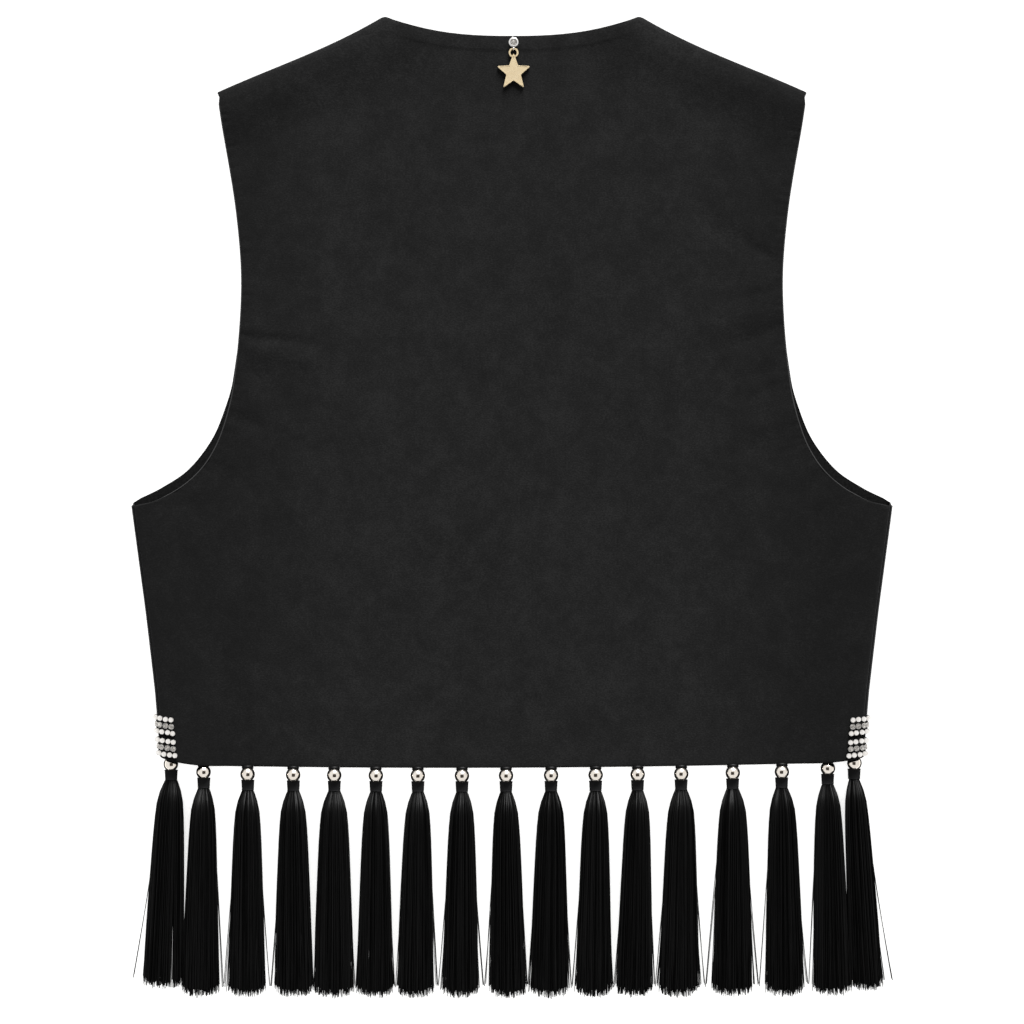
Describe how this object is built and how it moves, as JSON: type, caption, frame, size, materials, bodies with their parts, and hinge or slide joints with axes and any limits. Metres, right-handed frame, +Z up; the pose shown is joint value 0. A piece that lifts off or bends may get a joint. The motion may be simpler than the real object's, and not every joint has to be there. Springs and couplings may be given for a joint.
{
  "type": "gilet",
  "caption": "Cropped sleeveless black cloth gilet laid flat, face down, with a hem of metal balls and thread tassels, beaded side tapes and a hinged star charm at the back neck.",
  "frame": {"origin": "middle of the laid garment's footprint, on the surface it lies on, close to the line through both underarms", "axes": "+Z up off the surface, +Y from the hem towards the neck, +X to the right as seen from above"},
  "size_m": [0.471, 0.6064, 0.0137],
  "materials": {
    "cloth": "matt suede-touch cloth, black",
    "thread": "satin twisted thread, black",
    "ball": "polished nickel plate",
    "pearl": "white pearl beads on tape",
    "bezel": "polished silver-coloured plate",
    "stone": "clear cut stone",
    "gold": "pale gold plate"
  },
  "bodies": {
    "garment": {"back": "cloth", "front_left": "cloth", "front_right": "cloth", "band_left_upper": "pearl", "band_left_lower": "pearl", "band_right_upper": "pearl", "band_right_lower": "pearl", "bead_01": "ball", "bead_02": "ball", "bead_03": "ball", "bead_04": "ball", "bead_05": "ball", "bead_06": "ball", "bead_07": "ball", "bead_08": "ball", "bead_09": "ball", "bead_10": "ball", "bead_11": "ball", "bead_12": "ball", "bead_13": "ball", "bead_14": "ball", "bead_15": "ball", "bead_16": "ball", "bead_17": "ball", "tassel_01": "thread", "tassel_02": "thread", "tassel_03": "thread", "tassel_04": "thread", "tassel_05": "thread", "tassel_06": "thread", "tassel_07": "thread", "tassel_08": "thread", "tassel_09": "thread", "tassel_10": "thread", "tassel_11": "thread", "tassel_12": "thread", "tassel_13": "thread", "tassel_14": "thread", "tassel_15": "thread", "tassel_16": "thread", "tassel_17": "thread", "charm_bezel": "bezel", "charm_stone": "stone"},
    "charm": {"star_charm": "gold"}
  },
  "joints": [
    {"name": "charm_swing", "type": "hinge", "parent": "garment", "child": "charm", "pos_m": [0.001, 0.28305, 0.0053], "axis": [-1, 0, 0], "range_deg": [0, 120]}
  ]
}
